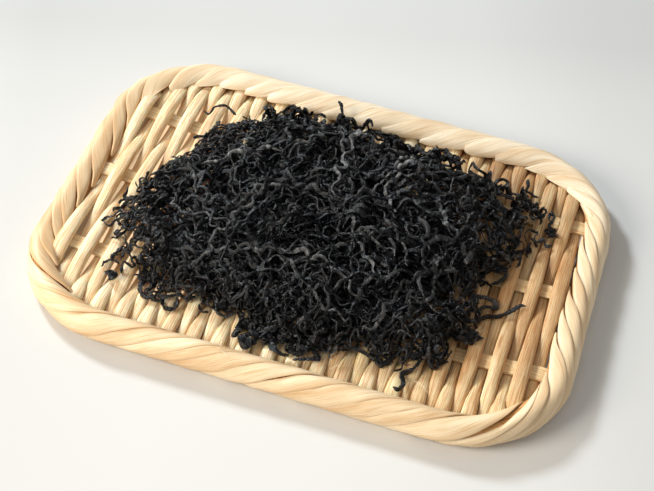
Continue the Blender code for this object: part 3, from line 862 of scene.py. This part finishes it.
# Single strands clear of the heap: radius, then x, y and height over the weave's crests, point by
# point.
STRAYS = (
    (0.55, -82.8, -55.9, 1, -82.4, -54, 1.5, -80.2, -52.1, 2.2, -78.1, -51.7, 2, -76.1, -52.4, 1.5),
    (1, -77.5, -57, 2.6, -78.2, -58.7, 2.2, -76, -60.5, 2.6, -75, -58.7, 3, -76.6, -58, 3.4),
    (0.65, -89.9, -9.6, 3, -89.6, -10.9, 2.4, -89.9, -12.5, 1.6, -89.8, -14.1, 1.4, -88, -14.9, 1.8,
     -89.5, -15.5, 1.6, -90.5, -16.7, 1.2, -91, -17.9, 1),
    (0.6, -86.2, -29.3, 3, -85.3, -30.5, 2, -83.3, -30.3, 1.5, -82.4, -27.7, 2),
    (0.55, -62.4, -51, 1.5, -64.6, -52.1, 1.4, -66, -53.2, 1.2, -66, -55.1, 1, -64.7, -55.9, 0.9),
    (1.05, -58.9, -51.8, 2, -62, -53.1, 1.6, -63.4, -55.1, 1.3, -63.7, -57.8, 1.2, -63.2, -60.7, 1.1,
     -61.4, -62.9, 1.1, -59.2, -63.6, 1.1, -57.7, -62.6, 1.2, -55.2, -63.4, 1.1, -53.5, -63.2, 1),
    (0.8, -58.6, -60.8, 1, -57, -59.8, 1.6, -54.4, -61.4, 2, -52.3, -61.7, 2.2, -49.8, -59.9, 2.4,
     -46.5, -58.3, 2, -42.5, -58.2, 1.8, -39.9, -56.8, 2),
    (0.85, -52.6, -61.1, 1, -52.5, -63.5, 1, -50.3, -65.5, 0.9, -48.1, -65.5, 0.9, -46.6, -63.7, 1,
     -46.3, -61.4, 1.4, -47.6, -59.6, 2),
    (0.8, -54.8, -59.7, 0.9, -55.3, -56.4, 1, -54.5, -53.5, 1.4, -53, -51.5, 2, -51, -49.6, 2.4, -47.9,
     -48.8, 2.4, -43.4, -50.3, 2, -41.7, -52.2, 1.6, -42.2, -56.2, 1.4),
    (0.5, -37.7, -59.3, 1.2, -36.1, -61.5, 1, -34, -61.8, 0.8, -32.9, -60.8, 0.8),
    (0.6, -34.7, -57.9, 2, -32.8, -59.2, 1.6, -30.5, -59.3, 1.4, -27.7, -61, 1.4, -24.8, -61.6, 1.6,
     -22.1, -59.5, 2.4),
    (1.5, -18.5, -58.5, 3.4, -18.2, -60.7, 2.2, -17.6, -64.6, 1.8, -17.9, -68.5, 1.6, -17.8, -70.6,
     1.5),
    (1.5, -8.5, -66.8, 1.7, -11, -66, 2, -13.2, -67.2, 1.8, -14.5, -69.5, 1.6, -14, -72.7, 1.6, -11.9,
     -74.9, 1.5, -10.9, -72.4, 1.7, -9.9, -69.2, 2),
    (1.25, -13.4, -53.7, 3.4, -10.1, -58, 2, -7.1, -62.2, 1.6, -3.9, -66.4, 1.4, -0.7, -70.7, 1.3, 2.5,
     -72.5, 1.3, 6.2, -72, 1.3),
    (1, -5.1, -53.5, 3.4, -3, -58.8, 1.4, 0.2, -62.5, 1.2, 2.6, -64.1, 1.3, 3, -60.7, 2.2),
    (1.1, 4.6, -66.4, 1.2, 6.5, -69.3, 1.2, 9, -70, 1.2, 10.9, -67.7, 1.4, 11.2, -63.6, 2.4),
    (1, 8.5, -74, 1.1, 11.1, -72.6, 1.3, 14.8, -70.5, 1.2, 17.6, -68.7, 1.1, 15.8, -65.8, 1.5, 16.7,
     -63.2, 2, 20.3, -61.3, 2.4, 25.6, -60.1, 2.2),
    (0.95, 23.5, -60.3, 2.2, 28.4, -59.4, 2, 32.7, -59.4, 1.8, 36.3, -60, 1.5, 39.8, -61.5, 1.2, 42.9,
     -63.3, 1.1, 44.6, -60.6, 1.2, 47.1, -57.4, 1.6, 48.5, -53.7, 2, 52, -54.1, 2.4),
    (1, 55.2, -51.9, 3, 57.2, -56.4, 1.4, 55.7, -60.8, 1.2, 52.3, -64.1, 1.1, 53.3, -67.8, 1.1, 54.4,
     -70.6, 1.1, 52.9, -73.5, 1.1, 50.6, -72.8, 1.1),
    (0.95, 60.5, -53.2, 2.4, 62, -56.3, 1.2, 64.5, -57.8, 1.1, 65.6, -54.4, 1.4, 68.7, -53.2, 1.2),
    (0.75, 77, 61.7, 4, 77.7, 56.8, 3.4, 77.6, 52.1, 3, 79.5, 48, 2.2, 80.6, 42, 1.6),
    (0.6, 83.6, 53.1, 1.4, 81.6, 52.4, 2, 79.4, 53.4, 2.8, 77.1, 53.2, 3.2, 75.4, 50.5, 3, 75.8, 46.4,
     2.4, 74.3, 42.8, 2.4),
    (0.8, 63.9, 43.7, 4, 63.4, 49.2, 5, 64.1, 53.9, 5.4, 66.4, 56.2, 5, 69, 55.5, 4.2, 67.9, 52.5, 4,
     65.5, 51, 4),
    (0.75, 91.5, 39.8, 1, 90.7, 41.8, 1.6, 91.7, 43.5, 2, 93.1, 42.2, 1.6, 92.5, 39.3, 1.2, 91.9, 36.9,
     1, 94.6, 34.8, 1, 94.9, 31.9, 1, 92.5, 30.6, 1),
    (1.1, 92.4, 34.2, 1.6, 94.3, 33, 1.6, 93.4, 31.4, 1.6),
    (0.65, 85.6, 27.9, 1.6, 88.8, 27, 1.2, 91.7, 28.7, 1.2, 93.1, 25.8, 1, 95.6, 26.9, 1),
    (0.75, 69.6, 12.3, 4, 74.5, 15.4, 2.6, 78.5, 15.2, 1.8, 83, 18.7, 1.3, 85.5, 22.1, 1.3, 86.2, 26.1,
     1.4),
    (0.8, 80.7, 16.2, 1.8, 79.4, 10.8, 1.2),
    (1.05, 66.2, 6.7, 5, 69.4, 7, 3.6, 72.6, 6.2, 2.6, 76.5, 4, 1.6, 79.6, 4.1, 1.4, 80.3, 0.7, 1.3,
     78.7, -3, 1.4, 75.6, -6.2, 2),
    (0.6, 76.3, -6.5, 1, 72.3, -5.1, 1.6, 69.7, -6.3, 2.4),
    (0.9, 62.3, -27.9, 4, 66.2, -28.8, 2.2, 71.3, -28.6, 1.4, 74.5, -26.6, 1.2, 77.8, -21.9, 1.2, 82.5,
     -20.5, 1.1, 86.6, -17, 1.1, 89.9, -12.8, 1, 92.3, -12.2, 0.8),
    (0.95, 68.7, -17.1, 5, 72.3, -15.2, 3.4, 76.1, -13.9, 2.2, 79.7, -14.6, 1.6, 80.2, -17.2, 1.6, 76.7,
     -18.1, 2.6, 73.5, -21, 2.4),
    (0.55, -75.8, 48.3, 4, -73, 46.9, 4.6, -72.2, 48.9, 5.2, -71.7, 51.1, 5.6, -70, 53, 6, -67.4, 54.4,
     6, -64.8, 53.9, 5.4, -61.3, 52.1, 4),
    (0.7, -67.2, 34.1, 1.6, -68.8, 38.4, 2, -67.6, 40.8, 3.4, -65.2, 42.8, 4.2, -61.6, 43.2, 4),
    (0.65, -75.3, 33.1, 1.4, -73.1, 34.4, 2, -70.2, 34.8, 2.4, -67, 34, 2),
    (1, -73, 29.3, 2, -71.1, 28.6, 2, -67.9, 27.8, 2),
    (0.65, -18.6, 75.2, 9, -16.5, 72.9, 8.4, -14.6, 69.7, 7, -12.5, 67.9, 5.6, -11.3, 63.1, 4),
    (0.7, -44.2, 61.2, 4.4, -41.8, 63.8, 5, -38.8, 64.1, 5.2, -38.7, 65.8, 6.4, -37.4, 67, 7, -35.8, 66,
     6.4, -36.7, 63.7, 5),
    (0.7, -37.3, 64.2, 5, -35, 65.9, 5.6, -32.6, 66.3, 5.4, -30, 66, 4.4, -30.2, 62.5, 3, -27.6, 59,
     2.4),
    (0.65, -25.3, 61.2, 2.6, -26.8, 65.1, 4, -26.7, 67.3, 4.8, -24.2, 68.9, 4.4, -22.3, 68.4, 3.4),
    (0.6, -49.2, 54.2, 3, -49.3, 57.9, 5, -48.7, 59.7, 5.6, -47.4, 58.4, 4.6),
)
STRAY_STATIONS = 56
STRAY_WAVER = 0.12
# Small tangles at the heap's edge: x, y and size.
CLUMPS = (
    (69, -37.5, 3.6), (72, -37.5, 3.6), (75, -37, 3.2), (-77.5, -58.5, 2), (63.5, -53.5, 4),
    (-11.5, -70.5, 3), (93, 33, 2.2), (-3, -66, 4), (8, -66, 4), (79, 47, 4),
)
CLUMP_STRANDS = 8


def open_holes(px, py):
    """Pushes strands aside where the tray shows through the heap."""
    for hole_x, hole_y, size in LEFT_HOLES + FAR_HOLES:
        away_x, away_y = px - hole_x, py - hole_y
        away = np.hypot(away_x, away_y) + 1e-6
        pushed = 1 + size * np.exp(-((away / (1.6 * size)) ** 2)) / away
        px, py = hole_x + away_x * pushed, hole_y + away_y * pushed
    return px, py


def make_layer(draw, layer):
    name, count, far, levels, lengths, radii, curls, tones, stations, sides = layer
    x, y = scattered(draw, count, far)
    length = draw.uniform(*lengths, count)
    level = draw.uniform(*levels, (count, 1))
    thickness = radii[0] + (radii[1] - radii[0]) * draw.uniform(0, 1, count) ** 2
    heading = draw.uniform(0, TURN, count)
    px, py, rise = strand_paths(draw, x, y, heading, length, draw.uniform(*curls, count), stations)
    px, py = gather(px, py, draw.uniform(0.82, 1.0, (count, 1)), 0.08, 0.30)
    px, py = open_holes(px, py)
    paths = settle(px, py, rise * 1.1, level, thickness[:, None])
    add_strand_piece(
        name, draw, paths, thickness, draw.uniform(0.1, 0.9, count), draw.beta(*tones, count), sides
    )


def make_edge(draw):
    """Short curled strands all round the heap, and an open fringe along its far side."""
    round_it = draw.uniform(0, TURN, EDGE_COUNT)
    middle, spread, share = THINNED_EDGE
    round_it[(np.abs(round_it - middle) < spread) & (draw.uniform(0, 1, EDGE_COUNT) < share)] += np.pi
    round_it[:EDGE_LEFT] = np.radians(draw.uniform(*EDGE_LEFT_DIRECTIONS, EDGE_LEFT))
    along_far = np.radians(draw.uniform(*FRINGE_DIRECTIONS, FRINGE_COUNT))
    angle = np.concatenate([round_it, along_far])
    count = len(angle)
    radius = heap_radius(angle) * draw.uniform(0.86, 1.04, count)
    radius[:EDGE_LEFT] *= draw.uniform(0.80, 1.02, EDGE_LEFT)
    x, y = from_centre(angle, radius)
    heading = angle + np.pi / 2 + draw.normal(0, 0.9, count)
    length = draw.uniform(13, 31, count)
    level = draw.uniform(0, 1.1, (count, 1)) ** 1.3
    # The fringe's strands are higher and thicker, and rise and fall more.
    level[EDGE_COUNT:] += 0.3
    thickness = 0.32 + 0.44 * draw.uniform(0, 1, count) ** 1.4
    thickness[EDGE_COUNT:] += 0.26
    px, py, rise = strand_paths(draw, x, y, heading, length, draw.uniform(1.0, 1.9, count), 34)
    px, py = gather(px, py, draw.uniform(0.96, 1.05, (count, 1)), 0.07)
    px, py = open_holes(px, py)
    rise[EDGE_COUNT:] *= 2.1
    paths = settle(px, py, rise * 1.3, level, thickness[:, None])
    add_strand_piece(
        "hijiki_edge", draw, paths, thickness, draw.uniform(0.1, 0.8, count),
        draw.beta(1.4, 4.6, count), 5,
    )


def smooth_line(points, stations):
    """A smooth curve through points, evenly sampled."""
    points = np.asarray(points, float)
    padded = np.concatenate([[2 * points[0] - points[1]], points, [2 * points[-1] - points[-2]]])
    at = np.linspace(0, len(points) - 1, stations * 4)
    first = np.minimum(at.astype(int), len(points) - 2)
    t = (at - first)[:, None]
    a, b, c, d = (padded[first + shift] for shift in range(4))
    square, cube = 2 * a - 5 * b + 4 * c - d, 3 * b - a - 3 * c + d
    curve = 0.5 * (2 * b + (c - a) * t + square * t**2 + cube * t**3)
    run = np.concatenate([[0], np.cumsum(np.linalg.norm(np.diff(curve, axis=0), axis=1))])
    even = np.linspace(0, run[-1], stations)
    return columns(*(np.interp(even, run, line) for line in curve.T))


def make_strays(draw):
    points = (np.reshape(numbers[1:], (-1, 3)) for numbers in STRAYS)
    lines = np.array([smooth_line(line, STRAY_STATIONS) for line in points])
    count = len(lines)
    waver = TURN * np.linspace(0, 1, STRAY_STATIONS) * draw.uniform(2, 5, (count, 1))
    lines[:, :, 0] += STRAY_WAVER * np.sin(waver + draw.uniform(0, TURN, (count, 1)))
    lines[:, :, 1] += STRAY_WAVER * np.cos(waver + draw.uniform(0, TURN, (count, 1)))
    lines[:, :, 2] += weave_crest(lines[:, :, 0], lines[:, :, 1])
    thickness = 0.85 * np.array([numbers[0] for numbers in STRAYS]) + 0.10

    clumps = np.repeat(np.array(CLUMPS, float), CLUMP_STRANDS, axis=0)
    spread = draw.normal(0, 0.42, (len(clumps), 3)) * clumps[:, 2:3]
    length = draw.uniform(0.8, 1.7, len(clumps)) * clumps[:, 2] * 2
    heading, curl = draw.uniform(0, TURN, len(clumps)), draw.uniform(1.5, 2.6, len(clumps))
    x, y = (clumps + spread)[:, :2].T
    px, py, rise = strand_paths(draw, x, y, heading, length, curl, STRAY_STATIONS)
    thin = draw.uniform(0.34, 0.66, len(clumps))
    level = np.abs(spread[:, 2:3]) * 0.9 + 0.6 * (rise - rise.min(axis=1, keepdims=True))
    knots = settle(px, py, level, 0.0, thin[:, None])
    lines = np.concatenate([lines, knots])
    thickness = np.concatenate([thickness, thin])
    add_strand_piece(
        "hijiki_strays", draw, lines, thickness, draw.uniform(0.1, 0.6, len(lines)),
        draw.beta(1.6, 5.0, len(lines)), 6,
    )


def make_heap():
    draw = np.random.default_rng(47)
    make_heap_core(draw)
    for layer in STRAND_LAYERS:
        make_layer(draw, layer)
    make_edge(draw)
    make_strays(draw)


# Floor, light and camera.


FLOOR_HALF_SIZE = 4.0
FLOOR_COLOUR = (0.726, 0.730, 0.730, 1)
# Painted light on the floor, its slow fall-off in brightness: a direction per 0.3 m, and how light it
# is along it.
FLOOR_PAINTED_FALLOFF = (
    ((3.17, 1.03, 0), ((0.03, 0.78), (0.25, 0.89), (0.50, 0.97), (0.77, 1.0), (0.97, 0.94))),
    ((-1.03, 3.17, 0), ((0.50, 1.0), (0.72, 0.98), (0.86, 0.94), (1.0, 0.85))),
)
# name, direction from the tray, distance, size, power and colour
LAMPS = (
    ("key", (-0.70, 0.445, 0.556), 1.5, 0.26, 20.0, (0.88, 0.96, 1.0)),
    ("fill", (-0.66, -0.56, 0.50), 0.85, 0.45, 7.3, (1.0, 0.92, 0.80)),
)
# A faint lamp close over the table, for the light through the weave's left part: place, length and
# width, power and colour
LAMP_BELOW = ((-0.074, 0, 0.0030), (0.052, 0.13), 0.025, (1.0, 0.76, 0.50))
SKY = {"Color": (1.0, 0.96, 0.90, 1), "Strength": 0.40}
# The camera fitted to the photo: azimuth, elevation and roll in degrees, then metres.
CAMERA_ANGLES = (13.01, 46.88, 6.05)
CAMERA_TARGET = (0.00134, -0.00330, 0.0046)
CAMERA_DISTANCE = 0.6731
CAMERA_LENS = 84.15
SENSOR_WIDTH = 36


def make_stage():
    mesh = bpy.data.meshes.new("floor")
    far = FLOOR_HALF_SIZE
    corners = [(-far, -far, 0), (far, -far, 0), (far, far, 0), (-far, far, 0)]
    mesh.from_pydata(corners, [], [(0, 1, 2, 3)])
    material, tree, shader = new_material("pale floor")
    place = object_place(tree)
    shades = []
    for direction, stops in FLOOR_PAINTED_FALLOFF:
        along = {0: place, 1: direction}
        along = add_node(tree, "ShaderNodeVectorMath", along, operation="DOT_PRODUCT").outputs[1]
        factor = add_node(tree, "ShaderNodeMath", {0: along, 1: 0.5}, operation="ADD").outputs[0]
        shades.append(ramp(tree, factor, [(at, (v, v, v, 1)) for at, v in stops]))
    shade = mix(tree, 1.0, shades[0], shades[1], "MULTIPLY")
    colour = mix(tree, 1.0, FLOOR_COLOUR, shade, "MULTIPLY")
    feed(tree, shader, {"Base Color": colour, "Roughness": 0.75})
    mesh.materials.append(material)
    add_object("floor", mesh)


def add_area_light(name, place, target, size, power, colour):
    data = bpy.data.lights.new(name, "AREA")
    data.shape = "DISK"
    data.size = size
    data.energy = power
    data.color = colour
    lamp = add_object(name, data)
    lamp.location = place
    away = Vector(target) - Vector(place)
    lamp.rotation_euler = away.to_track_quat("-Z", "Y").to_euler()
    return data


def make_light():
    for name, direction, distance, size, power, colour in LAMPS:
        place = Vector(direction).normalized() * distance
        add_area_light(name, place, (0, 0, 0), size, power, colour)
    place, (length, width), power, colour = LAMP_BELOW
    below = add_area_light("below", place, (*place[:2], 0), length, power, colour)
    below.shape = "RECTANGLE"
    below.size_y = width
    world = bpy.data.worlds.new("studio")
    world.use_nodes = True
    feed(world.node_tree, world.node_tree.nodes["Background"], SKY)
    scene = bpy.context.scene
    scene.world = world
    scene.view_settings.view_transform = "Standard"
    scene.view_settings.look = "None"
    scene.view_settings.exposure = 0.0


def make_camera():
    azimuth, elevation, roll = (math.radians(v) for v in CAMERA_ANGLES)
    back = Vector((
        math.sin(azimuth) * math.cos(elevation),
        -math.cos(azimuth) * math.cos(elevation),
        math.sin(elevation),
    ))
    level = Vector((math.cos(azimuth), math.sin(azimuth), 0))
    above = back.cross(level)
    right = math.cos(roll) * level + math.sin(roll) * above
    up = -math.sin(roll) * level + math.cos(roll) * above
    data = bpy.data.cameras.new("camera")
    data.lens = CAMERA_LENS
    data.sensor_width = SENSOR_WIDTH
    data.clip_start = 0.01
    camera = add_object("camera", data)
    turned = Matrix((right, up, back)).transposed().to_4x4()
    place = Vector(CAMERA_TARGET) + back * CAMERA_DISTANCE
    camera.matrix_world = Matrix.Translation(place) @ turned
    bpy.context.scene.camera = camera


make_camera()
make_stage()
make_light()
make_rods()
make_slats()
make_strips()
make_rim_inside()
make_splinters()
make_heap()
